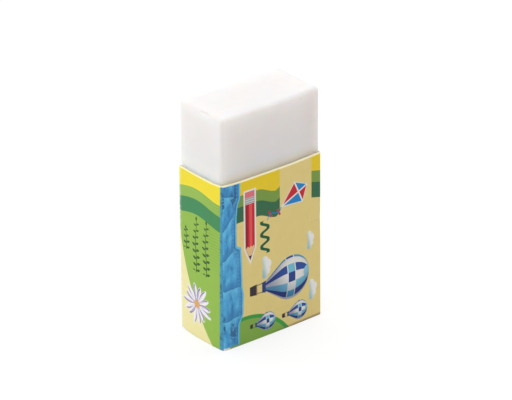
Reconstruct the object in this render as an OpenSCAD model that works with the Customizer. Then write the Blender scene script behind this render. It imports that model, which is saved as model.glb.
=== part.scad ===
// Rectangular vinyl eraser in a folded card sleeve, standing on its end.
// +Z runs up the block, X across its broad faces and Y through its thickness.
// The origin is the centre of the block's lower end.

/* [Block] */
// Length of the block, from end to end
block_len = 43; // [36:0.5:60]
// Width of the block's broad faces
block_w = 21.2; // [16:0.1:28]
// Thickness of the block, across its narrow faces
block_t = 11.2; // [8:0.1:15]
// Radius of the block's long edges
edge_r = 0.55; // [0.2:0.05:1.5]
// Radius of the edges round the block's cut ends
end_r = 0.35; // [0.1:0.05:1.5]

/* [Sleeve] */
// Height of the sleeve, from the block's lower end
sleeve_len = 30.9; // [20:0.1:35]
// Thickness of the card
card_t = 0.22; // [0.15:0.01:0.4]
// Sliding clearance between the block and the card, on each side
slide_gap = 0.08; // [0.05:0.01:0.3]
// How much tighter than the block's edges the card is folded
fold_tighter = 0.1; // [0:0.05:0.15]

/* [Glued side] */
// Reach of the glue flap, from the inside of the back panel
flap_w = 7; // [4:0.5:7.5]
// Distance from the flap's fold to the raw edge of the panel glued over it
seam_setback = 0.3; // [0.1:0.05:1]

/* [Hidden] */
$fn = 48;

// Inner faces of the card round the block
half_x = block_w / 2 + slide_gap;
half_y = block_t / 2 + slide_gap;
// The side panel lies over the glue flap, so it stands one card further out
side_x = half_x + card_t;
// Radii of the folds, inside and outside
fold_r = edge_r - fold_tighter;
fold_out_r = fold_r + card_t;
// Where the straight part of the glue flap meets its fold
flap_top_y = half_y - fold_r;

// Rectangle between two corners, with round corners of radius r
module round_rect(low, high, r) {
    translate([low[0] + r, low[1]])
        square([high[0] - low[0] - 2 * r, high[1] - low[1]]);
    translate([low[0], low[1] + r])
        square([high[0] - low[0], high[1] - low[1] - 2 * r]);
    for (x = [low[0] + r, high[0] - r], y = [low[1] + r, high[1] - r])
        translate([x, y])
            circle(r);
}

// Solid with the same rounded outline along one axis, centred on the origin
module round_bar(width, depth, length, r) {
    translate([0, 0, -length / 2])
        linear_extrude(length)
            round_rect([-width / 2, -depth / 2], [width / 2, depth / 2], r);
}

// White block with all its edges rounded
module eraser_block() {
    color("#F4F2F0")
        translate([0, 0, block_len / 2])
            intersection() {
                round_bar(block_w, block_t, block_len, edge_r);
                rotate([0, 90, 0])
                    round_bar(block_len, block_t, block_w, end_r);
                rotate([90, 0, 0])
                    round_bar(block_w, block_len, block_t, end_r);
            }
}

// Front, left and back panels and the side panel, up to the corner where the flap turns in
module panels() {
    difference() {
        round_rect([-half_x - card_t, -half_y - card_t], [side_x + card_t, half_y + card_t], fold_out_r);
        round_rect([-half_x, -half_y], [side_x, half_y], fold_r);
        translate([half_x - fold_r, flap_top_y])
            square(2 * fold_out_r + card_t);
        translate([half_x, flap_top_y - seam_setback])
            square(2 * fold_out_r + card_t);
    }
}

// Glue flap: it turns in from the back panel and lies behind the side panel
module glue_flap() {
    intersection() {
        translate([half_x - fold_r, flap_top_y])
            difference() {
                circle(fold_out_r);
                circle(fold_r);
            }
        translate([half_x - fold_r, flap_top_y])
            square(fold_out_r);
    }
    translate([half_x, half_y - flap_w])
        square([card_t, flap_w - fold_r]);
}

// One sheet of card, folded at four corners and glued to itself on the +X side
module card_sleeve() {
    color("#D8C886")
        linear_extrude(sleeve_len)
            union() {
                panels();
                glue_flap();
            }
}

eraser_block();
card_sleeve();
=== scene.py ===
# White vinyl eraser in a printed card sleeve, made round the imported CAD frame.
# Lengths in the dictionaries are millimetres, turns are degrees and inks are 0 to 255.

import math
from functools import reduce
from itertools import product

import bmesh
import bpy
from mathutils import Matrix, Vector, noise


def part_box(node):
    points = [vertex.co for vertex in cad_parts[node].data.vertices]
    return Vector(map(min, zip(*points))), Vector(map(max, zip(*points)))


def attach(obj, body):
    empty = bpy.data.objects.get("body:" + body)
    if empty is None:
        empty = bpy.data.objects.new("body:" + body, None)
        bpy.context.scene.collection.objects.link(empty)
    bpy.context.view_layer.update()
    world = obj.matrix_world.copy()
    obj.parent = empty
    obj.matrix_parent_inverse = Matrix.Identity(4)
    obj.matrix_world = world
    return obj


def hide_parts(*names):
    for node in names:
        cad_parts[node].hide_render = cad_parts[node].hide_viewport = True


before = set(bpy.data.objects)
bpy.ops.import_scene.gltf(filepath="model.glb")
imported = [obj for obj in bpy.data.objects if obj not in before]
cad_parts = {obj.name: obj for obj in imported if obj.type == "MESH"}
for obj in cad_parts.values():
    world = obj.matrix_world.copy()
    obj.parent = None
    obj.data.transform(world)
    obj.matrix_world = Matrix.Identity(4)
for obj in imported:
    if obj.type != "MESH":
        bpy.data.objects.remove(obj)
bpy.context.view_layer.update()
mm = 0.001
tiny = 1e-6  # places closer than this are one place
sharpFrom = 40  # edges that turn more than this stay sharp
print("frame loaded")


# Camera

cameraPlace = {
    "azimuth": -39.0,
    "elevation": 25.6,
    "roll": -0.4,
    "distance": 541.7,
    "aimHeight": 21.5,
    "aimRight": 0.93,  # how far the aim stands beside the block's middle
    "aimUp": 1.515,
    "lens": 223.6,
    "nearest": 10,
    "farthest": 10000,
}


def placeCamera(place):
    turn = math.radians(place["azimuth"])
    rise = math.radians(place["elevation"])
    roll = math.radians(place["roll"])
    level = math.cos(rise)
    back = Vector((math.sin(turn) * level, -math.cos(turn) * level, math.sin(rise)))
    right = Vector((math.cos(turn), math.sin(turn), 0))
    up = back.cross(right)
    aim = Vector((0, 0, place["aimHeight"])) + place["aimRight"] * right + place["aimUp"] * up
    rolledRight = math.cos(roll) * right + math.sin(roll) * up
    facing = Matrix((rolledRight, back.cross(rolledRight), back)).transposed()
    stand = (aim + place["distance"] * back) * mm
    bpy.ops.object.camera_add(location=stand, rotation=facing.to_euler())
    camera = bpy.context.object
    camera.data.lens = place["lens"]
    camera.data.clip_start = place["nearest"] * mm
    camera.data.clip_end = place["farthest"] * mm
    bpy.context.scene.camera = camera


placeCamera(cameraPlace)
print("camera placed")


# Modelling helpers

def selectOnly(piece):
    bpy.ops.object.select_all(action="DESELECT")
    piece.select_set(True)
    bpy.context.view_layer.objects.active = piece


def startEditing(piece):
    selectOnly(piece)
    bpy.ops.object.mode_set(mode="EDIT")
    bpy.ops.mesh.select_mode(type="EDGE")


def stopEditing():
    bpy.ops.object.mode_set(mode="OBJECT")


def pickEdges(piece, test):
    bpy.ops.mesh.select_all(action="DESELECT")
    mesh = bmesh.from_edit_mesh(piece.data)
    for edge in mesh.edges:
        if test(edge):
            edge.select_set(True)
    bmesh.update_edit_mesh(piece.data)


def standsAt(edge, place):
    return all((corner.co.xy - place).length < tiny for corner in edge.verts)


def sliceEvenly(low, high, step):
    for axis in range(3):
        span = high[axis] - low[axis]
        count = round(span / (step * mm))
        normal = Vector((axis == 0, axis == 1, axis == 2))
        for i in range(1, count):
            bpy.ops.mesh.select_all(action="SELECT")
            place = normal * (low[axis] + span * i / count)
            bpy.ops.mesh.bisect(plane_co=place, plane_no=normal)


def applyModifiers(piece):
    bpy.context.view_layer.objects.active = piece
    for modifier in list(piece.modifiers):
        bpy.ops.object.modifier_apply(modifier=modifier.name)


def smoothly(value, start=0, end=1):
    share = min(max((value - start) / (end - start), 0), 1)
    return share * share * (3 - 2 * share)


def shadeSoftly(piece):
    selectOnly(piece)
    bpy.ops.object.shade_smooth_by_angle(angle=math.radians(sharpFrom))


# Eraser block

blockShape = {
    "edgeRadius": 0.5,
    "endRadius": 0.5,
    "rest": -0.05,  # it lies against the left side of its sleeve
    "edgeSteps": 5,
    "gridStep": 0.8,
    "cornerDrop": 0.06,  # how far the corners are worn in, beyond their rounding
    "cornerReach": 1.6,
    # How far two corners of the working end are pressed out of place
    "leans": {(1, 1): (0, -0.6, 0.22), (1, -1): (0, 0, 0.12)},
    "leanFrom": 31,  # height at which this begins
    "waveHeight": 0.035,
    "waveSize": 4,
}

chipShape = {
    "across": -1.2,  # place along the top left edge
    "outside": 0.34,  # how far the cutter's centre stands outside the corner
    "below": 0.08,
    "size": (0.72, 1.75, 1.0),
    "roughness": 0.14,
    "lumps": 2.3,
    "grit": 7,
}


def wearCorners(piece, shape, low, high):
    corners = [Vector(corner) for corner in product(*zip(low, high))]
    middle = (low + high) / 2
    reach = shape["cornerReach"] * mm
    leanFrom = shape["leanFrom"] * mm
    for point in piece.data.vertices:
        for corner in corners:
            near = smoothly(1 - (point.co - corner).length / reach)
            inward = Vector(math.copysign(1, m - c) for m, c in zip(middle, corner)).normalized()
            point.co += inward * near * shape["cornerDrop"] * mm
        rise = smoothly((point.co.z - leanFrom) / (high.z - leanFrom))
        shareX = point.co.x / high.x
        shareY = point.co.y / high.y
        for (sideX, sideY), push in shape["leans"].items():
            share = smoothly(shareX * sideX) * smoothly(shareY * sideY) * rise
            point.co += Vector(push) * share * mm
        point.co.x += shape["rest"] * mm


def chipCutter(shape, low, high):
    place = Vector((
        low.x - shape["outside"] * mm,
        shape["across"] * mm,
        high.z - shape["below"] * mm,
    ))
    bpy.ops.mesh.primitive_ico_sphere_add(subdivisions=5, radius=1, location=place)
    cutter = bpy.context.object
    cutter.scale = [size * mm for size in shape["size"]]
    for point in cutter.data.vertices:
        rough = noise.noise(point.co * shape["lumps"]) + 0.5 * noise.noise(point.co * shape["grit"])
        point.co *= 1 + shape["roughness"] * rough
    return cutter


def makeBlock(shape, chip):
    low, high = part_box("eraser_block")
    bpy.ops.object.select_all(action="DESELECT")
    bpy.ops.mesh.primitive_cube_add(size=1, location=(low + high) / 2, scale=high - low)
    block = bpy.context.object
    block.name = "eraserBlock"
    bpy.ops.object.transform_apply(location=True, rotation=True, scale=True)
    startEditing(block)
    pickEdges(block, lambda edge: standsAt(edge, edge.verts[0].co.xy))
    bpy.ops.mesh.bevel(offset=shape["edgeRadius"] * mm, segments=shape["edgeSteps"], affect="EDGES")
    pickEdges(block, lambda edge: abs(edge.verts[0].co.z - edge.verts[1].co.z) < tiny)
    bpy.ops.mesh.bevel(offset=shape["endRadius"] * mm, segments=shape["edgeSteps"], affect="EDGES")
    sliceEvenly(low, high, shape["gridStep"])
    stopEditing()
    wearCorners(block, shape, low, high)

    waves = bpy.data.textures.new("softWaves", "CLOUDS")
    waves.noise_scale = shape["waveSize"] * mm
    wave = block.modifiers.new("wave", "DISPLACE")
    wave.texture = waves
    wave.texture_coords = "LOCAL"
    wave.strength = shape["waveHeight"] * mm
    wave.mid_level = 1  # only inwards, so that the block still slides in its sleeve
    cutter = chipCutter(chip, low, high)
    cut = block.modifiers.new("chip", "BOOLEAN")
    cut.operation = "DIFFERENCE"
    cut.object = cutter
    applyModifiers(block)
    bpy.data.objects.remove(cutter)
    shadeSoftly(block)
    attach(block, "block")
    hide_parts("eraser_block")
    return block


eraserBlock = makeBlock(blockShape, chipShape)
print("block made:", len(eraserBlock.data.polygons), "faces")


# Card sleeve

frontSide, plainSide, cutFace, backSide = range(4)  # material slots

sleeveShape = {
    "card": 0.24,
    "foldRadius": 0.5,  # outside
    "nearRadius": 0.75,  # the near left fold is blunter
    "foldSteps": 6,
    "flapReach": 7,
    "seamSetback": 0.3,
    "glue": 0.01,
    "gridStep": 0.7,
    # How far the middle of each panel stands out, at the rim and at the foot
    "bow": {
        "left": (0, 0.25),
        "front": (0.07, 0.18),
        "right": (0.08, 0.1),
        "back": (0.1, 0.14),
    },
    "hug": (0.32, 0.2),  # how far the front right fold stands in, likewise
    "hugFrom": 7 / 12,  # share of the way from the middle to the front where this begins
    "loose": (0.03, 0.02),  # how far the back left fold stands out, likewise
    "cutSoft": 0.2,  # rounding of the outer edge of the rim and of the foot
    "footWear": (0.3, 3.0),  # how far the foot of the back left fold is worn up, and how wide
    "footWearUpTo": 0.1,  # as a share of the height
    # How far two folds stand up at the rim, and how wide
    "rimLifts": {(-1, -1): (0.16, 3.4), (1, -1): (0.22, 8)},
    "rimDip": 0.15,  # how far the left side of the rim dips between its folds
    "rimLowest": -0.15,  # where it is lowest, as a share of the way to the back
    "outerFrom": 0.75,  # share of the way up, or out, where lifts and dips begin
    "dentHeight": 18.8,
    "dents": [(0.07, 3.2), (0.05, 0.4)],  # depth and reach of the knock and of its crease
    "dentAcross": 2,
    "netSpan": 75,  # width of the flat sheet that fills the UV map
    "netStart": 41,  # how far along it the near left fold lies
}


def spot(point):
    return tuple(round(c, 7) for c in point.co.xy)


def layNet(piece, shape, start):
    # Walks round the foot of the sheet and keeps each corner's distance from the near left fold
    mesh = bmesh.new()
    mesh.from_mesh(piece.data)
    foot = [point for point in mesh.verts if point.co.z < tiny]
    here = min(foot, key=lambda point: (point.co - start).length)
    along = {}
    length = 0
    while here:
        along[spot(here)] = length
        nextOnes = [edge.other_vert(here) for edge in here.link_edges]
        nextOnes = [point for point in nextOnes if point.co.z < tiny and spot(point) not in along]
        if nextOnes:
            length += (nextOnes[0].co - here.co).length
        here = nextOnes[0] if nextOnes else None
    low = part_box("card_sleeve")[0]
    fold = min(along, key=lambda place: (Vector(place) - low.xy).length)
    span = shape["netSpan"] * mm
    uvLayer = mesh.loops.layers.uv.new("cardNet")
    for face in mesh.faces:
        for loop in face.loops:
            across = along[spot(loop.vert)] - along[fold] + shape["netStart"] * mm
            loop[uvLayer].uv = (across / span, loop.vert.co.z / span)
    mesh.to_mesh(piece.data)
    mesh.free()


def between(rimAndFoot, height):
    rim, foot = rimAndFoot
    return (rim * height + foot * (1 - height)) * mm


def liftRim(shape, off, half):
    # Up at two folds of the rim, down between the folds of its left side
    sag = 1 - ((off.y / half.y - shape["rimLowest"]) / (1 + shape["rimLowest"])) ** 2
    lift = -shape["rimDip"] * max(sag, 0) * smoothly(-off.x / half.x, shape["outerFrom"])
    for (sideX, sideY), (rise, reach) in shape["rimLifts"].items():
        corner = Vector((sideX * half.x, sideY * half.y))
        lift += rise * smoothly(1 - (off.xy - corner).length / (reach * mm))
    return lift * mm


def bowPanels(piece, shape, low, high):
    radius = shape["foldRadius"] * mm
    middle = (low + high) / 2
    half = (high - low) / 2
    backLeft = Vector((low.x, high.y))
    frontRight = Vector((high.x, low.y))
    wear, wearReach = shape["footWear"]
    for point in piece.data.vertices:
        height = point.co.z / high.z
        off = point.co - middle
        near = smoothly(off.x / half.x, 0.5) * smoothly(-off.y / half.y, shape["hugFrom"])
        point.co.x -= between(shape["hug"], height) * near
        near = smoothly(-off.x / half.x, 0.5) * smoothly(off.y / half.y)
        shift = between(shape["loose"], height) * near
        point.co += Vector((-shift, shift, 0))
        near = smoothly(1 - (point.co.xy - backLeft).length / (wearReach * mm))
        point.co.z += wear * mm * near * smoothly(height, shape["footWearUpTo"], 0)
        point.co.z += liftRim(shape, off, half) * smoothly(height, shape["outerFrom"])
        alongX = 1 - min(abs(off.x) / (half.x - radius), 1) ** 2
        alongY = 1 - min(abs(off.y) / (half.y - radius), 1) ** 2
        if abs(off.y) > half.y - radius / 2:
            swell = between(shape["bow"]["back" if off.y > 0 else "front"], height)
            point.co.y += math.copysign(swell * alongX, off.y)
        if abs(off.x) > half.x - radius / 2 - shape["card"] * mm:
            swell = between(shape["bow"]["right" if off.x > 0 else "left"], height)
            point.co.x += math.copysign(swell * alongY, off.x)
        # The front right fold is knocked in a little, with one small crease
        drop = point.co.z / mm - shape["dentHeight"]
        depth = sum(deep * math.exp(-((drop / tall) ** 2)) for deep, tall in shape["dents"])
        near = 1 - (frontRight - point.co.xy).length / (shape["dentAcross"] * mm)
        point.co.x -= depth * mm * smoothly(near, 0.3, 0.8)


def isCutEdge(edge):
    # The outer edge of the rim or the foot, but not the flap's or the seam's
    kinds = sorted(face.material_index for face in edge.link_faces)
    return kinds == [frontSide, cutFace] and all(abs(end.normal.z) > 0.3 for end in edge.verts)


def makeSleeve(shape):
    low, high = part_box("card_sleeve")
    card = shape["card"] * mm
    flapX = high.x - card - shape["glue"] * mm
    flapEnd = high.y - card - shape["flapReach"] * mm
    seam = high.y - (shape["foldRadius"] + shape["seamSetback"]) * mm
    bpy.ops.object.select_all(action="DESELECT")
    middle = (flapX, (flapEnd + high.y) / 2, high.z / 2)
    bpy.ops.mesh.primitive_plane_add(size=1, location=middle, rotation=(0, math.pi / 2, 0))
    sleeve = bpy.context.object
    sleeve.name = "cardSleeve"
    sleeve.scale = (high.z, high.y - flapEnd, 1)
    bpy.ops.object.transform_apply(location=True, rotation=True, scale=True)

    # From the glue flap round the back, left, front and right panels
    startEditing(sleeve)
    corners = [
        Vector((flapX, high.y)),
        Vector((low.x, high.y)),
        Vector((low.x, low.y)),
        Vector((high.x, low.y)),
        Vector((high.x, seam)),
    ]
    for here, there in zip(corners, corners[1:]):
        pickEdges(sleeve, lambda edge: standsAt(edge, here))
        way = (*(there - here), 0)
        bpy.ops.mesh.extrude_region_move(TRANSFORM_OT_translate={"value": way})
    foldSets = {"nearRadius": corners[2:3], "foldRadius": corners[:2] + corners[3:4]}
    for radius, folds in foldSets.items():
        pickEdges(sleeve, lambda edge: any(standsAt(edge, fold) for fold in folds))
        bpy.ops.mesh.bevel(offset=shape[radius] * mm, segments=shape["foldSteps"], affect="EDGES")
    stopEditing()
    layNet(sleeve, shape, Vector((flapX, flapEnd, 0)))

    startEditing(sleeve)
    sliceEvenly(low, high, shape["gridStep"])
    bpy.ops.mesh.select_all(action="SELECT")
    bpy.ops.mesh.remove_doubles(threshold=tiny)
    bpy.ops.mesh.normals_make_consistent(inside=False)
    stopEditing()
    front = min(sleeve.data.polygons, key=lambda face: face.center.y)
    if front.normal.y > 0:
        sleeve.data.flip_normals()
    bowPanels(sleeve, shape, low, high)

    for _ in range(4):
        sleeve.data.materials.append(None)  # a slot for each finish, filled later
    wall = sleeve.modifiers.new("card", "SOLIDIFY")
    wall.thickness = card
    wall.offset = -1
    wall.use_even_offset = True
    wall.material_offset = plainSide
    wall.material_offset_rim = cutFace
    applyModifiers(sleeve)
    startEditing(sleeve)
    pickEdges(sleeve, isCutEdge)
    bpy.ops.mesh.bevel(offset=shape["cutSoft"] * mm, segments=3, affect="EDGES", material=frontSide)
    stopEditing()
    net = sleeve.data.uv_layers["cardNet"].uv
    for face in sleeve.data.polygons:
        along = sum(net[corner].vector.x for corner in face.loop_indices) / face.loop_total
        if face.material_index == frontSide and along * shape["netSpan"] < shape["netStart"]:
            face.material_index = backSide
    shadeSoftly(sleeve)
    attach(sleeve, "sleeve")
    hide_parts("card_sleeve")
    return sleeve


cardSleeve = makeSleeve(sleeveShape)
print("sleeve made:", len(cardSleeve.data.polygons), "faces")


# Node helpers

class Field:
    # A node's output that sums can be written with: each sign below becomes a Math node
    def __init__(self, tree, socket):
        self.tree = tree
        self.socket = socket

    def __neg__(self):
        return self * -1


for sign, kind in (("add", "ADD"), ("sub", "SUBTRACT"), ("mul", "MULTIPLY"), ("truediv", "DIVIDE")):
    setattr(Field, f"__{sign}__", lambda self, other, kind=kind: calc(kind, self, other))
    setattr(Field, f"__r{sign}__", lambda self, other, kind=kind: calc(kind, other, self))


def feed(value, socket):
    if isinstance(value, Field):
        value.tree.links.new(value.socket, socket)
    else:
        socket.default_value = value


def addNode(tree, kind, inputs=None, settings=None, output=0):
    node = tree.nodes.new("ShaderNode" + kind)
    for name, value in (settings or {}).items():
        setattr(node, name, value)
    for name, value in (inputs or {}).items():
        feed(value, node.inputs[name])
    return Field(tree, node.outputs[output])


def calc(operation, *values, clamp=False):
    tree = next(value.tree for value in values if isinstance(value, Field))
    settings = {"operation": operation, "use_clamp": clamp}
    return addNode(tree, "Math", dict(enumerate(values)), settings)


def size(field):
    return calc("ABSOLUTE", field)


def wave(field, length):
    return calc("SINE", field * (math.tau / length))


def distance(across, up):
    return calc("SQRT", across * across + up * up)


def inside(field, soft=0.05):
    # 1 where the field is below zero, with a soft border
    return calc("MULTIPLY_ADD", field, -1 / soft, 0.5, clamp=True)


def stripe(field, half, soft=0.05):
    return inside(size(field) - half, soft)


def ramp(field, low, high):
    inputs = {"Value": field, "From Min": low, "From Max": high}
    return addNode(field.tree, "MapRange", inputs, {"interpolation_type": "SMOOTHSTEP"})


def largest(*fields):
    return reduce(lambda a, b: calc("MAXIMUM", a, b), fields)


def smallest(*fields):
    return reduce(lambda a, b: calc("MINIMUM", a, b), fields)


def paint(below, above, mask, blend="MIX"):
    settings = {"data_type": "RGBA", "blend_type": blend}
    return addNode(mask.tree, "Mix", {0: mask, 6: below, 7: above}, settings, 2)


def paintOver(colour, *coats):
    for tint, mask in coats:
        colour = paint(colour, tint, mask)
    return colour


def noiseField(place, scale, detail=2, rough=0.5, stretch=(1, 1, 1), distortion=0):
    # The dictionaries below hold these settings in this order
    inputs = {
        "Vector": addNode(place.tree, "Mapping", {"Vector": place, "Scale": stretch}),
        "Scale": scale,
        "Detail": detail,
        "Roughness": rough,
        "Distortion": distortion,
    }
    return addNode(place.tree, "TexNoise", inputs)


def ink(red, green, blue):
    shares = [part / 255 for part in (red, green, blue)]
    return (*(p / 12.92 if p < 0.04045 else ((p + 0.055) / 1.055) ** 2.4 for p in shares), 1)


def newGroup(name, inputs, outputs):
    tree = bpy.data.node_groups.new(name, "ShaderNodeTree")
    for label, value in inputs.items():
        kind = "Float" if isinstance(value, (int, float)) else ("Vector", "Color")[len(value) - 3]
        kind = "NodeSocket" + kind
        socket = tree.interface.new_socket(name=label, in_out="INPUT", socket_type=kind)
        socket.default_value = value
    for label, kind in outputs.items():
        tree.interface.new_socket(name=label, in_out="OUTPUT", socket_type="NodeSocket" + kind)
    start = tree.nodes.new("NodeGroupInput")
    end = tree.nodes.new("NodeGroupOutput")
    return [Field(tree, start.outputs[label]) for label in inputs], end


def endGroup(end, *fields):
    for field, socket in zip(fields, end.inputs):
        feed(field, socket)
    return end.id_data


def useGroup(tree, group, inputs):
    node = tree.nodes.new("ShaderNodeGroup")
    node.node_tree = group
    for label, value in inputs.items():
        feed(value, node.inputs[label])
    return [Field(tree, socket) for socket in node.outputs]


def parts(vector):
    node = vector.tree.nodes.new("ShaderNodeSeparateXYZ")
    feed(vector, node.inputs[0])
    return [Field(vector.tree, socket) for socket in node.outputs]


def join(x, y):
    return addNode(x.tree, "CombineXYZ", {"X": x, "Y": y})


def placeOnPiece(tree, scale=1.0):
    place = addNode(tree, "TexCoord", output="Object")
    return addNode(tree, "VectorMath", {0: place, "Scale": scale / mm}, {"operation": "SCALE"})


def newMaterial(name):
    material = bpy.data.materials.new(name)
    material.use_nodes = True
    shader = material.node_tree.nodes["Principled BSDF"]
    return material, material.node_tree, shader


def finishSurface(shader, colour, roughness, height, bump):
    strength, depth = bump
    inputs = {"Strength": strength, "Distance": depth * mm, "Height": height}
    feed(colour, shader.inputs["Base Color"])
    feed(roughness, shader.inputs["Roughness"])
    feed(addNode(height.tree, "Bump", inputs), shader.inputs["Normal"])


# Pictures of the print, each round its own middle, in millimetres across it and up it

pictureOutputs = {"Colour": "Color", "Mask": "Float"}


def newPicture(name, **more):
    (place, *others), end = newGroup(name, {"Place": (0, 0, 0), **more}, pictureOutputs)
    side, up, _ = parts(place)
    return end, side, up, *others


balloonShape = {
    "radius": 4.1,
    "coneFrom": -2.4,  # below this height the envelope narrows in a straight line
    "mouth": -5.7,
    "mouthHalf": 0.9,
    "belt": {"drop": 0.4, "droop": 0.6, "half": 0.75, "trim": 0.1},
    "crown": 1.3,
    # Middle height, half height, half width there and how fast it widens upwards
    "skirt": (-6.05, 0.4, 1.0375, 0.25),
    "ropes": (-6.9, 0.75, 0.812, 0.12),
    "basket": (-8.3, 0.8, 0.95, 0.12),
    "ropeHalf": 0.07,
    "basketRim": (-7.6, 0.13),
    "wicker": 0.42,
    "gores": [
        ink(70, 165, 200), ink(232, 232, 228), ink(45, 80, 160),
        ink(232, 232, 228), ink(120, 195, 220), ink(40, 66, 140), ink(228, 230, 228),
    ],
    "white": ink(235, 235, 230),
    "crownBlue": ink(150, 205, 225),
    "lit": {"side": -0.35, "up": 1, "reach": (0.35, 1.5)},
    "shade": (ink(120, 130, 170), 0.75),
    "navy": ink(42, 58, 120),
    "brown": ink(38, 34, 44),
    "weave": ink(92, 74, 66),
    "straw": ink(150, 120, 90),
}


def goreColours(turn, colours, shift):
    spread = calc("FRACT", turn * 0.5 + (0.5 + shift / len(colours)))
    node = spread.tree.nodes.new("ShaderNodeValToRGB")
    node.color_ramp.interpolation = "CONSTANT"
    stops = node.color_ramp.elements
    stops.remove(stops[1])
    stops[0].color = colours[0]
    for i, colour in enumerate(colours[1:], 1):
        stops.new(i / len(colours)).color = colour
    feed(spread, node.inputs[0])
    return Field(spread.tree, node.outputs[0])


def taper(reach, up, sides):
    middle, tall, wide, spread = sides
    return reach - wide - spread * (up - middle), size(up - middle) - tall


def makeBalloonGroup(shape):
    end, side, up = newPicture("printBalloon")
    reach = size(side)
    radius = shape["radius"]
    coneHalf = math.sqrt(radius ** 2 - shape["coneFrom"] ** 2)
    slope = (coneHalf - shape["mouthHalf"]) / (shape["coneFrom"] - shape["mouth"])
    ball = calc("SQRT", largest(radius ** 2 - up * up, 0.001))
    cone = largest((up - shape["coneFrom"]) * slope + coneHalf, 0.1)
    half = cone + inside(shape["coneFrom"] - up, 0.01) * (ball - cone)
    share = smallest(largest(side / half, -1), 1)
    turn = calc("ARCSINE", share) * (2 / math.pi)
    belt = shape["belt"]
    droop = up + belt["drop"] - belt["droop"] * (1 - share * share)
    lit = shape["lit"]
    shade = ramp(distance(share - lit["side"], (up - lit["up"]) / radius), *lit["reach"])
    fabric = paintOver(
        goreColours(turn, shape["gores"], 0),
        (goreColours(turn, shape["gores"], 2), stripe(droop, belt["half"])),
        (shape["white"], stripe(size(droop) - belt["half"] - belt["trim"], belt["trim"])),
        (shape["crownBlue"], inside(distance(side, up - radius) - shape["crown"])),
    )
    shadeInk, amount = shape["shade"]
    fabric = paint(fabric, shadeInk, shade * amount, "MULTIPLY")
    envelope = largest(reach - half, shape["mouth"] - up, up - radius)
    skirt = largest(*taper(reach, up, shape["skirt"]))
    across, tall = taper(reach, up, shape["ropes"])
    ropes = largest(size(across) - shape["ropeHalf"], tall)
    basket = largest(*taper(reach, up, shape["basket"]))
    rimUp, rimHalf = shape["basketRim"]
    wicker = paintOver(
        shape["brown"],
        (shape["weave"], inside(-wave(up, shape["wicker"])) * 0.35),
        (shape["straw"], stripe(up - rimUp, rimHalf)),
    )
    colour = paintOver(
        fabric,
        (shape["navy"], inside(skirt)),
        (shape["brown"], inside(ropes)),
        (wicker, inside(basket)),
    )
    return endGroup(end, colour, inside(smallest(envelope, skirt, ropes, basket)))


cloudShape = {
    "puffs": [(-1.5, 0, 0.8), (-0.5, 0.55, 1.05), (0.75, 0.35, 0.95), (1.7, -0.05, 0.65)],
    "foot": -0.6,
    "lit": {"slope": 0.25, "range": (-0.9, 0.7)},
    "soft": 0.12,
    "white": ink(240, 240, 236),
    "shade": ink(150, 195, 205),
}


def makeCloudGroup(shape):
    end, side, up = newPicture("printCloud")
    puffs = smallest(*(distance(side - x, up - y) - radius for x, y, radius in shape["puffs"]))
    outline = largest(puffs, shape["foot"] - up)
    lit = shape["lit"]
    light = ramp(up - lit["slope"] * side, *lit["range"])
    colour = paint(shape["shade"], shape["white"], light)
    return endGroup(end, colour, inside(outline, shape["soft"]))


pencilShape = {
    "length": 12.9,
    "half": 1.0,
    "outline": 0.33,
    "rubber": 1.1,
    "ferrule": 2.3,
    "wood": 10.5,
    "lead": 12.0,
    "tip": 0.42,  # half width that the point loses in each millimetre
    "tipLean": 0.92,  # keeps the outline as wide along the point
    "innerLine": (0.07, 0.75),  # width and strength
    "shine": (0.18, 0.3),  # middle and half width of the light facet
    "shadeBelow": -0.42,
    "scallops": (0.28, 1.3),  # depth and pitch
    "rings": 0.4,  # pitch of the ferrule's rings
    "white": ink(240, 236, 226),
    "red": ink(204, 36, 50),
    "darkRed": ink(160, 24, 42),
    "lightRed": ink(232, 88, 88),
    "pink": ink(226, 120, 130),
    "metal": ink(150, 156, 160),
    "lightMetal": ink(214, 216, 214),
    "pine": ink(236, 196, 140),
    "graphite": ink(60, 46, 54),
}


def makePencilGroup(shape):
    end, along, up = newPicture("printPencil")
    reach = size(up)
    point = (reach - (shape["length"] - along) * shape["tip"]) * shape["tipLean"]
    body = largest(reach - shape["half"], -along, point)
    middle, half = shape["shine"]
    facets = paintOver(
        shape["red"],
        (shape["lightRed"], stripe(up - middle, half)),
        (shape["darkRed"], inside(up - shape["shadeBelow"])),
    )
    deep, pitch = shape["scallops"]
    scallop = along - shape["wood"] + deep * size(wave(up + middle, pitch))
    rings = paint(shape["metal"], shape["lightMetal"], inside(wave(along, shape["rings"])))
    innerLine, strength = shape["innerLine"]
    colour = paintOver(
        facets,
        (shape["pine"], inside(-scallop)),
        (shape["graphite"], inside(shape["lead"] - along)),
        (rings, inside(along - shape["ferrule"])),
        (shape["pink"], inside(along - shape["rubber"])),
        (shape["darkRed"], inside(-(body + innerLine)) * strength),
        (shape["white"], inside(-body)),
    )
    return endGroup(end, colour, inside(body - shape["outline"]))


squiggleShape = {
    "pitch": 2.3,
    "rise": 0.72,
    "half": 0.32,
    "reach": 3.1,
    "steep": 2.6,  # keeps the line as wide on its slopes
    "mottle": 2.2,
    "dark": ink(24, 82, 52),
    "light": ink(38, 98, 62),
}


def makeSquiggleGroup(shape):
    end, along, up = newPicture("printSquiggle")
    slope = calc("COSINE", along * (math.tau / shape["pitch"]))
    steep = calc("SQRT", 1 + shape["steep"] * calc("POWER", slope, 2))
    line = size(up - shape["rise"] * wave(along, shape["pitch"])) / steep - shape["half"]
    outline = largest(line, size(along) - shape["reach"])
    colour = paint(shape["dark"], shape["light"], noiseField(join(along, up), shape["mottle"]))
    return endGroup(end, colour, inside(outline))


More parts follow.
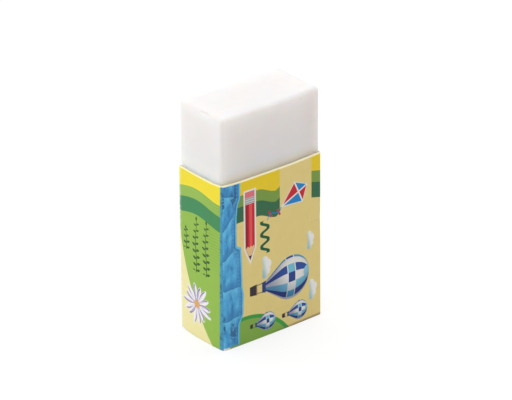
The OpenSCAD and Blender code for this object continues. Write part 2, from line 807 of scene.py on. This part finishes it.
kiteShape = {
    "top": 1.75,
    "spar": 0.35,  # height of the cross spar
    "half": 1.45,
    "foot": -2.35,
    "tail": 2.2,
    "tailHalf": 0.07,
    "sparHalf": 0.09,
    "sway": (0.3, 2.1),
    "bows": {"pitch": 1.05, "half": 0.42, "thin": 0.04, "flare": 0.3},
    "seam": 0.05,
    "red": ink(206, 32, 54),
    "blue": ink(30, 134, 206),
    "white": ink(240, 236, 224),
}


def makeKiteGroup(shape):
    end, side, up = newPicture("printKite")
    rise = up - shape["spar"]
    slopes = largest(rise / (shape["top"] - shape["spar"]), -rise / (shape["spar"] - shape["foot"]))
    sail = size(side) / shape["half"] + slopes - 1
    drop = shape["foot"] - up
    swing, swingLength = shape["sway"]
    fromTail = size(side - swing * wave(drop, swingLength))
    onTail = size(drop - shape["tail"] / 2) - shape["tail"] / 2
    tail = largest(fromTail - shape["tailHalf"], onTail)
    bow = shape["bows"]
    fromBow = size(calc("FRACT", drop / bow["pitch"]) - 0.5) * bow["pitch"]
    flared = fromBow - bow["flare"] * fromTail
    bows = largest(fromTail - bow["half"], flared - bow["thin"], onTail)
    colour = paintOver(
        shape["blue"],
        (shape["red"], inside(-(side * rise), 0.02)),
        (shape["white"], inside(smallest(size(side), size(rise)) - shape["sparHalf"])),
        (shape["blue"], inside(-drop, 0.01)),
        (shape["red"], inside(bows)),
        (shape["white"], stripe(sail, shape["seam"]) * inside(drop)),
    )
    mask = largest(inside(sail - shape["seam"]), inside(tail), inside(bows))
    return endGroup(end, colour, mask)


daisyShape = {
    "petals": 14,
    "heart": 0.8,
    "petalMiddle": 2.2,
    "petalHalf": (1.55, 0.47),
    "outline": 0.09,
    "sway": (0.1, 2.4),  # how far the petals lean, and how fast this changes from one to the next
    "stretch": (0.1, 4.1),  # how much longer some are, likewise
    "shade": {"over": (0.0, 0.17), "out": (0.9, 1.5), "amount": 0.75},
    "streak": {"over": -0.05, "half": 0.03, "soft": 0.07, "out": (3.3, 1.6), "amount": 0.7},
    "rim": {"petal": (-0.17, -0.04), "over": (-0.02, 0.16), "sway": 0.12},
    "dots": {"noise": (5, 1), "range": (0.42, 0.62), "amount": 0.7},
    "white": ink(246, 243, 246),
    "lilac": ink(170, 152, 196),
    "purple": ink(112, 92, 146),
    "orange": ink(232, 182, 112),
    "darkOrange": ink(206, 146, 78),
}


def makeDaisyGroup(shape):
    end, side, up = newPicture("printDaisy")
    reach = distance(side, up)
    turn = calc("ARCTAN2", up, side) * (shape["petals"] / math.tau)
    number = calc("FLOOR", turn)
    swing, pace = shape["sway"]
    sway = calc("SINE", number * pace)
    lean = (calc("FRACT", turn) - 0.5 + swing * sway) * (math.tau / shape["petals"])
    more, pace = shape["stretch"]
    out = reach * calc("COSINE", lean) / (1 + more * calc("SINE", number * pace))
    over = reach * calc("SINE", lean)
    halfLong, halfWide = shape["petalHalf"]
    ovalReach = distance((out - shape["petalMiddle"]) / halfLong, over / halfWide)
    petal = (ovalReach - 1) * halfWide
    dark, line, edge, dot = (shape[name] for name in ("shade", "streak", "rim", "dots"))
    shade = ramp(over + swing * sway, *dark["over"]) * ramp(out, *dark["out"])
    streak = stripe(over - line["over"], line["half"], line["soft"]) * ramp(out, *line["out"])
    rim = ramp(petal, *edge["petal"]) * ramp(over + edge["sway"] * sway, *edge["over"])
    dots = ramp(noiseField(join(side, up), *dot["noise"]), *dot["range"])
    heart = reach - shape["heart"]
    colour = paintOver(
        shape["white"],
        (shape["lilac"], shade * dark["amount"]),
        (shape["lilac"], streak * line["amount"]),
        (shape["purple"], rim),
        (shape["white"], ramp(petal, 0.0, 0.06)),
        (paint(shape["orange"], shape["darkOrange"], dots * dot["amount"]), inside(heart)),
    )
    mask = largest(inside(petal - shape["outline"], 0.1), inside(heart))
    return endGroup(end, colour, mask)


sprigShape = {
    "step": 1.25,
    "stem": 0.09,
    "leafHalf": (0.52, 0.25),
    "tip": 0.2,
    "lean": 20,
    "sway": (0.16, 7.5),
    "green": ink(44, 84, 36),
    "vein": ink(92, 138, 60),
}


def makeSprigGroup(shape):
    end, side, up, length = newPicture("printSprig", Length=10.0)
    swing, swingLength = shape["sway"]
    stemSide = side - swing * wave(up, swingLength)
    thin = 0.7 + 0.3 * ramp(up, length, length * 0.3)
    stem = largest(size(stemSide) - shape["stem"] * thin, -up, up - length)
    step = shape["step"]
    near = (calc("FRACT", up / step + 0.25 * inside(stemSide, 0.01)) - 0.3) * step
    lean = math.radians(shape["lean"])
    reach = size(stemSide)
    halfLong, halfWide = shape["leafHalf"]
    outLeaf = reach * math.cos(lean) + near * math.sin(lean) - halfLong * thin
    overLeaf = near * math.cos(lean) - reach * math.sin(lean)
    share = outLeaf / (halfLong * thin)
    leaf = size(overLeaf) - halfWide * thin * (1 - share * share)
    leaves = largest(leaf, 0.3 - up, up - length)
    tipSide = side - swing * wave(length, swingLength)
    tip = distance(tipSide, (up - length - shape["tip"]) * 0.55) - shape["tip"]
    vein = stripe(overLeaf, 0.03) * inside(leaves) * inside(0.12 - reach)
    colour = paint(shape["green"], shape["vein"], vein * 0.6)
    return endGroup(end, colour, inside(smallest(stem, leaves, tip)))


bandOffsets = {"lightGreen": 2.05, "darkGreen": 4.9}
# The band inks in two copies, as painted shade and light: a darker one for the front and right
# panels, a lighter one for the left and back
frontShadedInks = {
    "Yellow": ink(238, 208, 42),
    "Light Green": ink(124, 158, 70),
    "Dark Green": ink(52, 108, 74),
}
leftLitInks = {
    "Yellow": ink(246, 226, 52),
    "Light Green": ink(152, 191, 84),
    "Dark Green": ink(64, 141, 89),
}


def makeBandsGroup(offsets):
    inputs = {"Depth": 0.0, **leftLitInks}  # depth below the lower border of the yellow
    (depth, yellow, lightGreen, darkGreen), end = newGroup("printBands", inputs, pictureOutputs)
    colour = paintOver(
        darkGreen,
        (lightGreen, inside(depth - offsets["lightGreen"])),
        (yellow, inside(depth)),
    )
    return endGroup(end, colour, inside(depth - offsets["darkGreen"]))


clothShape = {
    "edge": 3.65,
    "edgeWave": 0.12,
    "edgeLength": 21,
    "softness": (0.55, 3, 0.6),
    "worn": (0.9, 4, 0.6, (1, 0.35, 1)),
    "crumpled": (1.5, 3, 0.65, (0.9, 0.5, 1), 1.0),
    "overFold": 0.15,  # how far it runs round the near left fold
    "foot": 30.45,
    "uneven": 0.2,
    # Where each piece of cloth laps over the next: depth at the fold, slope, and step of its border
    "laps": [
        (1.9, 0.2, -0.5), (8.4, -0.95, -0.15), (13.9, -0.6, 0.9),
        (19.5, 0.0, 0.25), (25.4, -0.1, -0.75),
    ],
    # Crumpled and tucked places: middle and half size, each down and along
    "crumples": [(3.1, 2.3, 2.6, 1.0), (27.6, 2.0, 2.6, 1.1)],
    "tuck": (1.0, 2.75, 2.4, 0.5),
    # Hem: distance from the border, half width, colour and strength
    "hem": [(0.16, 0.13, "pale", 0.85), (0.4, 0.04, "dark", 0.5)],
    "stitches": {"inset": 0.75, "half": 0.05, "pitch": 0.7},
    "twill": 0.34,
    "byFold": [(3.2, 2.4, 1.2), (26, 2.2, 1)],  # dark creases: how far down, outer and inner reach
    "mid": ink(80, 168, 222),
    "pale": ink(116, 210, 250),
    "deep": ink(52, 124, 186),
    "dark": ink(36, 74, 122),
    "thread": ink(178, 224, 240),
}


def patch(along, down, place, core):
    atDown, atAlong, tall, wide = place
    return ramp(distance((down - atDown) / tall, (along - atAlong) / wide), 1, core)


def makeClothGroup(shape):
    inputs = {"Along": 0.0, "Down": 0.0}
    (along, down), end = newGroup("printCloth", inputs, pictureOutputs)
    pale, deep, dark = shape["pale"], shape["deep"], shape["dark"]
    place = join(along, down)
    soft = noiseField(place, *shape["softness"])
    uneven = shape["uneven"] * (soft - 0.5)
    border = shape["edge"] - shape["edgeWave"] * wave(down - 4, shape["edgeLength"]) + uneven
    worn = noiseField(place, *shape["worn"])
    colour = paintOver(
        deep,
        (shape["mid"], ramp(worn, 0.34, 0.5)),
        (pale, ramp(worn, 0.48, 0.68) * 0.75),
    )
    for depth, slope, step in shape["laps"]:
        lap = down - depth - slope * along - 0.12 * along * along * slope - 0.7 * (soft - 0.5)
        border = border + step * ramp(lap, -0.1, 2.0)
        colour = paintOver(
            colour,
            (deep, ramp(lap, -2.2, -0.1) * inside(lap) * 0.75),
            (pale, ramp(lap, 2.0, 0.15) * inside(-lap) * 0.6),
            (dark, stripe(lap, 0.07, 0.16) * 0.85),
        )
    inset = border - along
    crumple = noiseField(place, *shape["crumpled"])
    crumpled = largest(*(patch(along, down, crease, 0.4) for crease in shape["crumples"]))
    hem = [
        (shape[tint], stripe(inset - at, half, 0.1) * share)
        for at, half, tint, share in shape["hem"]
    ]
    colour = paintOver(
        colour,
        (deep, ramp(inset, 1.5, 0.6) * 0.6),
        (dark, ramp(crumple, 0.43, 0.54) * crumpled * 0.85),
        (dark, patch(along, down, shape["tuck"], 0.3) * 0.6),
        *hem,
    )
    stitch = shape["stitches"]
    dash = inside(0.1 - wave(down, stitch["pitch"]), 0.3)
    twill = wave(along * 0.8 + down * 0.6, shape["twill"])
    byFold = stripe(along - 0.1, 0.25, 0.2) * ramp(crumple, 0.44, 0.52)
    reaches = (ramp(size(down - at), outer, inner) for at, outer, inner in shape["byFold"])
    colour = paintOver(
        colour,
        (shape["thread"], stripe(inset - stitch["inset"], stitch["half"], 0.08) * dash * 0.4),
        (pale, ramp(twill, 0.1, 1) * 0.2),
        (deep, ramp(twill, -0.1, -1) * 0.25),
        (dark, byFold * largest(*reaches) * 0.85),
    )
    band = largest(along - border, uneven - shape["overFold"] - along, down - shape["foot"])
    return endGroup(end, colour, inside(band))


# Surface effects that several finishes share

fibreLook = {
    "fibres": (5, 3, 0.6, (1, 1, 0.35), 0.6),
    "cross": (6, 2, 0.6, (0.4, 0.4, 1), 0.6),
    "cloudy": (0.5, 3, 0.55),
    "tones": (0.4, 0.3, 0.5),  # how far each of the three changes the tone
    "heights": (0.6, 0.4),
}
grainLook = {
    "cloudy": (0.16, 3, 0.55),
    "fine": (4.5, 3, 0.6),
    "pores": (11, 2, 0.5),
    "smear": (0.55, 4, 0.6, (1, 1, 0.3), 0.8),
    "specks": {"noise": (1.3, 1), "range": (0.79, 0.81)},
    "cloudTone": {"range": (0.42, 0.75), "amount": 0.5},
    "smearTone": {"range": (0.5, 0.8), "amount": 0.35},
    "heights": (0.7, 0.3),
    "roughness": (0.4, 0.22),
}


def makeFibreGroup(look):
    inputs = {"Scale": 1.0, "Amount": 0.5}
    (scale, amount), end = newGroup("paperFibre", inputs, {"Tone": "Float", "Height": "Float"})
    place = placeOnPiece(scale.tree, scale)
    kinds = ("fibres", "cross", "cloudy")
    fibres, cross, cloudy = (noiseField(place, *look[name]) for name in kinds)
    first, second, third = look["tones"]
    change = first * (fibres - 0.5) + second * (cross - 0.5) + third * (cloudy - 0.5)
    high, low = look["heights"]
    return endGroup(end, 1 + amount * change, fibres * high + cross * low)


def makeGrainGroup(look):
    inputs = {"Scale": 1.0, "Soiling": 0.5}
    outputs = {"Tone": "Float", "Specks": "Float", "Height": "Float", "Roughness": "Float"}
    (scale, soiling), end = newGroup("vinylGrain", inputs, outputs)
    place = placeOnPiece(scale.tree, scale)
    kinds = ("cloudy", "fine", "pores", "smear")
    cloudy, fine, pores, smear = (noiseField(place, *look[name]) for name in kinds)
    cloud, streak, speck = look["cloudTone"], look["smearTone"], look["specks"]
    clouds = cloud["amount"] * ramp(cloudy, *cloud["range"])
    smears = streak["amount"] * ramp(smear, *streak["range"])
    specks = ramp(noiseField(place, *speck["noise"]), *speck["range"])
    high, low = look["heights"]
    least, more = look["roughness"]
    tone = 1 - soiling * (clouds + smears)
    return endGroup(end, tone, specks, fine * high + pores * low, least + more * cloudy)


paperFibre = makeFibreGroup(fibreLook)
vinylGrain = makeGrainGroup(grainLook)


# White vinyl of the block

vinylFinish = {
    "white": (0.858, 0.848, 0.848, 1),
    "soiled": ink(205, 198, 192),
    "speck": ink(150, 140, 134),
    "soiling": 0.15,
    "specks": 0.12,
    "crumbs": {"scale": 2.6, "reach": 1.1, "deep": 0.4, "amount": 0.12},  # round the chip
    # Faint marks of the cut
    "sawn": {"noise": (0.9, 3, 0.6, (0.15, 1.2, 1)), "deep": 0.2, "amount": 0.06, "height": 0.4},
    "rimShading": {  # painted warm shade above the rim on the front, painted light above it on the narrow sides
        "reach": 2.2,
        "sideReach": 1.6,  # times as far on the narrow side
        "below": 2,
        "front": (1.05, 0.94, 0.74, 1),
        "side": (1.16, 1.135, 1.05, 1),
    },
    # Painted shade along the edges of the two narrow sides, and over the right part of the front
    "edges": {"range": (0.8, 0.05), "tint": (0.92, 0.91, 0.9, 1)},
    "frontRightShade": {"range": (5, 10.6), "tint": (0.91, 0.9, 0.9, 1)},
    "bump": (0.25, 0.02),  # strength and depth
    "translucence": {  # the scale is in metres
        "Subsurface Weight": 1,
        "Subsurface Radius": (1, 0.75, 0.6),
        "Subsurface Scale": 0.005,
    },
}


def finishBlock(finish):
    material, tree, shader = newMaterial("whiteVinyl")
    inputs = {"Soiling": finish["soiling"]}
    tone, specks, height, roughness = useGroup(tree, vinylGrain, inputs)
    place = placeOnPiece(tree)
    across, through, up = parts(place)
    low, high = (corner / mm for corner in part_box("eraser_block"))
    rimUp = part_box("card_sleeve")[1].z / mm

    # The working end, with crumbs round its chip and marks of the cut
    crumb, saw = finish["crumbs"], finish["sawn"]
    fromChip = distance(across - low.x, (through - chipShape["across"]) * 0.6)
    crumbs = ramp(noiseField(place, crumb["scale"]), 0.5, 0.62)
    below = high.z - up
    crumbs = crumbs * ramp(fromChip, crumb["reach"], 0.5) * inside(below - crumb["deep"], 0.1)
    sawn = noiseField(place, *saw["noise"])
    marks = ramp(sawn, 0.5, 0.7) * inside(below - saw["deep"], 0.1)
    colour = paintOver(
        finish["soiled"],
        (finish["white"], tone),
        (finish["speck"], specks * finish["specks"]),
        (finish["speck"], crumbs * crumb["amount"]),
        (finish["soiled"], marks * saw["amount"]),
    )

    # Painted shade and light in a band above the rim: warm shade on the front, lighter on the
    # narrow sides
    rimShading = finish["rimShading"]
    front = ramp(through, -4.6, -5.4)
    tint = paint(rimShading["side"], rimShading["front"], front)
    reach = rimShading["reach"] * (rimShading["sideReach"] - (rimShading["sideReach"] - 1) * front)
    rise = (up - rimUp) / reach
    rimward = ramp(rise * rimShading["reach"], -rimShading["below"], -0.5 * rimShading["below"])
    colour = paint(colour, tint, ramp(rise, 1, -0.1) * rimward, "MULTIPLY")

    # Painted shade: darker along the edges of the narrow sides and towards the right of the front
    edges, frontRightShade = finish["edges"], finish["frontRightShade"]
    offEdge = largest(high.x - size(across), smallest(high.y + through, high.z - up))
    colour = paint(colour, edges["tint"], ramp(offEdge, *edges["range"]), "MULTIPLY")
    greyer = ramp(across, *frontRightShade["range"]) * inside(high.y + through - 0.4, 0.3)
    colour = paint(colour, frontRightShade["tint"], greyer, "MULTIPLY")
    for label, value in finish["translucence"].items():
        shader.inputs[label].default_value = value
    finishSurface(shader, colour, roughness, height + saw["height"] * sawn, finish["bump"])
    return material


eraserBlock.data.materials.append(finishBlock(vinylFinish))
print("vinyl finished")


# Print on the card

printLayout = {
    "frontWave": {"level": 2.65, "drop": 1.27, "from": 7.5, "to": 11.5},
    "frontKink": {"along": 11.3, "level": 4.0, "slope": 0.62},
    "frontEnd": 12.26,  # where the waved bands stop
    "rightStart": 19.46,  # where the straight ones start
    "rightLevel": 2.8,
    "rightSlope": 0.23,
    "leftWave": {"level": 3.08, "rise": 0.52, "length": 13.4, "crest": -6.7},
    "leftField": {"along": 24.9, "down": 7.0, "radius": 36.4},
    # Painted shade along a fine crease that runs in from the knocked fold: where it starts, is
    # deepest and ends
    "crease": {
        "down": 11.7,
        "slope": 0.03,
        "along": (17.2, 21.5, 23.5),
        "half": 0.02,
        "soft": 0.16,
        "ink": ink(150, 128, 76),
        "amount": 0.4,
    },
    "disc": {"along": 4.26, "down": 37.6, "radius": 12, "rim": 0.7},
    "backDisc": {"along": -31, "down": 38.5, "radius": 12, "rim": 0.7},
    # The ground in two copies, as painted shade and light: darker on the front and right, lighter
    # on the left and back
    "frontShadedGround": ink(233, 213, 139),
    "leftLitGround": ink(244, 236, 174),
    "field": ink(149, 191, 77),
    "discField": ink(131, 175, 75),
    "discRim": ink(60, 158, 70),
    # Fine dark hairs, with the places along and down between which they fade in
    "hairs": {"pitch": 0.54, "along": (-7, -2.5), "down": (19, 12), "ink": ink(84, 132, 44)},
    # How far the cloth runs on past the near left fold, at the rim and for each millimetre down
    "clothTurn": (0.3, 0.018),
    "clothEdge": ink(80, 156, 190),
    "bareCard": ink(246, 244, 238),
}

madePictures = (
    makePencilGroup(pencilShape),
    makeSquiggleGroup(squiggleShape),
    makeKiteGroup(kiteShape),
    makeBalloonGroup(balloonShape),
    makeCloudGroup(cloudShape),
    makeSprigGroup(sprigShape),
    makeDaisyGroup(daisyShape),
)
pictures = {picture.name: picture for picture in madePictures}

# Picture, how far down, how far along, turn, size, and for some their length
frontPictures = [
    ("printKite", 5.9, 15.9, 24, 1.55),
    ("printCloud", 15.6, 18.9, 0, 0.75),
    ("printCloud", 25.2, 19.4, 0, 0.85),
    ("printCloud", 17.6, 8.9, 0, 0.9),
    ("printBalloon", 28.0, 9.4, 0, 0.42),
    ("printBalloon", 28.2, 16.6, 0, 0.44),
    ("printBalloon", 21.3, 14.7, 0, 1),
    ("printSquiggle", 11.9, 8.96, 0, 1),
    ("printPencil", 2.4, 5.76, 0, 1),
    ("printSprig", 20, 27.0, 90, 1),
    ("printDaisy", 23.5, 27.2, 20, 0.85),
]
backPictures = [
    ("printSprig", 18.3, -4.2, 90, 1),
    ("printSprig", 18.4, -6.9, 90, 1),
    ("printSprig", 15.0, -9.6, 90, 0.9, 4.4),
    ("printDaisy", 24.35, -6.76, 0, 0.92),
    ("printKite", 12.0, -27.0, 37, 1.2),
    ("printCloud", 26.5, -17.5, 0, 0.9),
    ("printBalloon", 27.5, -25.0, 0, 0.44),
    ("printBalloon", 18.6, -20.4, 0, 0.95),
    ("printPencil", 9.4, -13.7, 0, 1),
]

# Folds give their place along, the reach of their wear and how white it is
# The pale rim is worn card and painted highlight: its width, and how white it is, whiter on the
# front where the light is dimmer
frontWearAndHighlight = {"rimWidth": 0.22, "rimWhiteAndHighlight": 1, "folds": [(21.8, 0.35, 0.4)]}
backWearAndHighlight = {"rimWidth": 0.18, "rimWhiteAndHighlight": 0.7, "folds": [(-11.5, 0.8, 0.75), (-33.35, 0.35, 0.45)]}
cardWearAndShading = {
    "footWidth": 0.08,
    "ragged": 0.14,
    "rimInk": ink(255, 251, 216),
    "foldInk": ink(253, 251, 238),
    # Painted shade along the foot, towards the right of the front
    "footShade": {"height": (0.75, 0.1), "along": (9, 17), "ink": ink(112, 88, 66), "amount": 0.75},
    "roughness": (0.36, 0.12),  # least, and how much more where it is worn
}

bandsGroup = makeBandsGroup(bandOffsets)
clothGroup = makeClothGroup(clothShape)


def paintBands(ground, depth, inks, where):
    colour, mask = useGroup(depth.tree, bandsGroup, {"Depth": depth, **inks})
    return paint(ground, colour, mask * where)


def paintDisc(ground, along, down, layout, disc):
    edge = distance(along - disc["along"], down - disc["down"]) - disc["radius"]
    inner = inside(edge + disc["rim"])
    return paintOver(ground, (layout["discRim"], inside(edge)), (layout["discField"], inner))


def paintFrontAndRight(along, down, layout):
    waves, kink = layout["frontWave"], layout["frontKink"]
    depth = down - waves["level"] - waves["drop"] * ramp(along, waves["from"], waves["to"])
    depth = largest(depth, down - kink["level"] + kink["slope"] * (along - kink["along"]))
    waved = inside(along - layout["frontEnd"])
    # The front and right take the darker copies of the ground and band inks: painted shade
    colour = paintBands(layout["frontShadedGround"], depth, frontShadedInks, waved)
    onRight = layout["rightStart"] - along
    depth = down - layout["rightLevel"] + layout["rightSlope"] * onRight
    colour = paintBands(colour, depth, frontShadedInks, inside(onRight))
    # Painted shade along the fine crease
    crease = layout["crease"]
    start, deepest, end = crease["along"]
    fine = down - crease["down"] - crease["slope"] * along
    fine = stripe(fine, crease["half"], crease["soft"])
    fine = fine * ramp(along, start, deepest) * ramp(along, end, deepest)
    colour = paint(colour, crease["ink"], fine * crease["amount"])
    return paintDisc(colour, along, down, layout, layout["disc"])


def paintLeftAndBack(along, down, layout):
    field = layout["leftField"]
    edge = distance(along - field["along"], down - field["down"]) - field["radius"]
    # The left and back take the lighter copies of the ground and band inks: painted light
    colour = paint(layout["leftLitGround"], layout["field"], inside(edge))
    colour = paintDisc(colour, along, down, layout, layout["backDisc"])
    waves = layout["leftWave"]
    lift = waves["rise"] * calc("COSINE", (along - waves["crest"]) * (math.tau / waves["length"]))
    depth = down - waves["level"] + lift
    colour = paintBands(colour, depth, leftLitInks, 1)
    hairs = layout["hairs"]
    ripple = noiseField(join(along, down), 0.4)
    hair = wave(down + 0.02 * along + 0.5 * ripple, hairs["pitch"])
    faded = ramp(along, *hairs["along"]) * ramp(down, *hairs["down"]) * inside(-depth, 0.1)
    colour = paint(colour, hairs["ink"], ramp(hair, -0.4, 0.9) * faded * 0.22)
    turn, lean = layout["clothTurn"]
    dark = ramp(noiseField(join(down, along), 1.1, 3, 0.65), 0.48, 0.66) * 0.6
    edge = paint(layout["clothEdge"], clothShape["dark"], dark)
    return paint(colour, edge, inside(-turn - lean * down - along, 0.2))


def paintCloth(colour, along, down, layout):
    cloth, mask = useGroup(along.tree, clothGroup, {"Along": along, "Down": down})
    colour = paint(colour, cloth, mask)
    bare = inside(clothShape["foot"] - down, 0.1) * ramp(along, 1.5, 1.0)
    return paint(colour, layout["bareCard"], bare)


# Wear on the card, with a painted highlight along the rim and painted shade at the foot
def wearAndShadeCard(colour, along, down, places, wear):
    art = join(down, along)
    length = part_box("card_sleeve")[1].z / mm
    worn = noiseField(art, 1.4, 3, 0.6)
    # Pale along the rim and the foot: worn card, and at the rim also a painted highlight
    edges = smallest(down - places["rimWidth"], length - down - wear["footWidth"])
    edges = edges - wear["ragged"] * (worn - 0.4)
    colour = paint(colour, wear["rimInk"], inside(edges, 0.12) * places["rimWhiteAndHighlight"])
    cracks = 0.4 + 0.6 * ramp(noiseField(art, 2.6, 3, 0.7, (1, 0.3, 1)), 0.46, 0.6)
    folds = (ramp(size(along - at), reach, 0.1) * white for at, reach, white in places["folds"])
    colour = paint(colour, wear["foldInk"], largest(*folds) * cracks)
    # Painted shade at the foot, towards the right of the front
    footShade = wear["footShade"]
    footShaded = ramp(length - down, *footShade["height"]) * ramp(along, *footShade["along"])
    least, more = wear["roughness"]
    return paint(colour, footShade["ink"], footShaded * footShade["amount"]), least + more * worn


printSurface = {"fibre": 0.16, "gloss": 0.2, "bump": (0.35, 0.012)}
bareSurface = {"fibre": 0.5, "tone": (0.8, 1.1), "roughness": (0.75, 0.15), "bump": (0.6, 0.02)}


def finishPrint(name, paintGround, places, wear, cloth):
    material, tree, shader = newMaterial(name)
    net = addNode(tree, "UVMap", settings={"uv_map": "cardNet"})
    across, up, _ = parts(net)
    along = across * sleeveShape["netSpan"] - sleeveShape["netStart"]
    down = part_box("card_sleeve")[1].z / mm - up * sleeveShape["netSpan"]
    colour = paintGround(along, down, printLayout)
    art = join(down, along)
    for picture, downTo, alongTo, turn, scale, *length in places:
        placing = {
            "Vector": art,
            "Location": (downTo, alongTo, 0),
            "Rotation": (0, 0, math.radians(turn)),
            "Scale": (scale, scale, 1),
        }
        place = addNode(tree, "Mapping", placing, {"vector_type": "TEXTURE"})
        inputs = {"Place": place, "Length": length[0]} if length else {"Place": place}
        drawn, mask = useGroup(tree, pictures[picture], inputs)
        colour = paint(colour, drawn, mask)
    if cloth:
        colour = paintCloth(colour, along, down, printLayout)
    colour, roughness = wearAndShadeCard(colour, along, down, wear, cardWearAndShading)
    surface = printSurface
    tone, height = useGroup(tree, paperFibre, {"Amount": surface["fibre"]})
    colour = addNode(tree, "VectorMath", {0: colour, "Scale": tone}, {"operation": "SCALE"})
    shader.inputs["Specular IOR Level"].default_value = surface["gloss"]
    finishSurface(shader, colour, roughness, height, surface["bump"])
    return material


def finishBareCard(name, colour, shade, scale):
    material, tree, shader = newMaterial(name)
    surface = bareSurface
    tone, height = useGroup(tree, paperFibre, {"Scale": scale, "Amount": surface["fibre"]})
    speckled = paint(shade, colour, ramp(tone, *surface["tone"]))
    least, more = surface["roughness"]
    finishSurface(shader, speckled, least + more * height, height, surface["bump"])
    return material


cardFinishes = {
    frontSide: finishPrint("frontPrint", paintFrontAndRight, frontPictures, frontWearAndHighlight, True),
    plainSide: finishBareCard("plainCard", ink(252, 250, 246), ink(246, 243, 238), 1.0),
    cutFace: finishBareCard("cutEdge", ink(255, 249, 212), ink(252, 240, 196), 2.0),
    backSide: finishPrint("backPrint", paintLeftAndBack, backPictures, backWearAndHighlight, False),
}
for slot, finish in cardFinishes.items():
    cardSleeve.data.materials[slot] = finish
print("card finished")


# Floor, light and world

studio = {  # in metres
    "floorSize": 3,
    "floorTone": (0.7, 0.7, 0.7, 1),
    "floorShare": 0.6,  # share of the floor's look that is plain white to the camera
    "floorGlow": 1.24,
    "keyFrom": (-0.85, -0.1, 0.4),
    "keyAim": (0, 0, 0.02),
    "keyDistance": 0.4,
    "keySize": 0.4,
    "keyPower": 0.135,
    "sky": (1.16, 1.16, 1.16, 1),
    "front": (0.6, 0.57, 0.55, 1),  # the sky is dimmer and warmer on this side
    "frontRange": (0.2, 0.8),
}


def seenDirectly(tree):
    node = tree.nodes.new("ShaderNodeLightPath")
    kinds = ("Is Camera Ray", "Is Glossy Ray", "Is Transmission Ray")
    return largest(*(Field(tree, node.outputs[kind]) for kind in kinds))


def makeFloor(place):
    bpy.ops.object.select_all(action="DESELECT")
    bpy.ops.mesh.primitive_plane_add(size=place["floorSize"], location=(0, 0, 0))
    floor = bpy.context.object
    floor.name = "studioFloor"
    material, tree, shader = newMaterial("paleFloor")
    tree.nodes.remove(shader)
    diffuse = addNode(tree, "BsdfDiffuse", {"Color": place["floorTone"]})
    glow = addNode(tree, "Emission", {"Color": (1, 1, 1, 1), "Strength": place["floorGlow"]})
    share = seenDirectly(tree) * place["floorShare"]
    mixed = addNode(tree, "MixShader", {0: share, 1: diffuse, 2: glow})
    feed(mixed, tree.nodes["Material Output"].inputs["Surface"])
    floor.data.materials.append(material)


def makeLights(place):
    way = Vector(place["keyFrom"]).normalized()
    stand = Vector(place["keyAim"]) + way * place["keyDistance"]
    turn = way.to_track_quat("Z", "Y").to_euler()
    bpy.ops.object.light_add(type="AREA", location=stand, rotation=turn)
    key = bpy.context.object
    key.name = "keyLight"
    key.data.shape = "DISK"
    key.data.size = place["keySize"]
    key.data.energy = place["keyPower"]
    world = bpy.data.worlds.new("softSky")
    world.use_nodes = True
    tree = world.node_tree
    background = tree.nodes["Background"]
    way = addNode(tree, "TexCoord", output="Generated")
    inputs = {0: way, 1: (0, -1, 0)}
    forward = addNode(tree, "VectorMath", inputs, {"operation": "DOT_PRODUCT"}, "Value")
    sky = paint(place["sky"], place["front"], ramp(forward, *place["frontRange"]))
    sky = paint(sky, (1, 1, 1, 1), seenDirectly(tree))
    feed(sky, background.inputs["Color"])
    bpy.context.scene.world = world
    bpy.context.scene.view_settings.view_transform = "Standard"


makeFloor(studio)
makeLights(studio)
print("stage set")
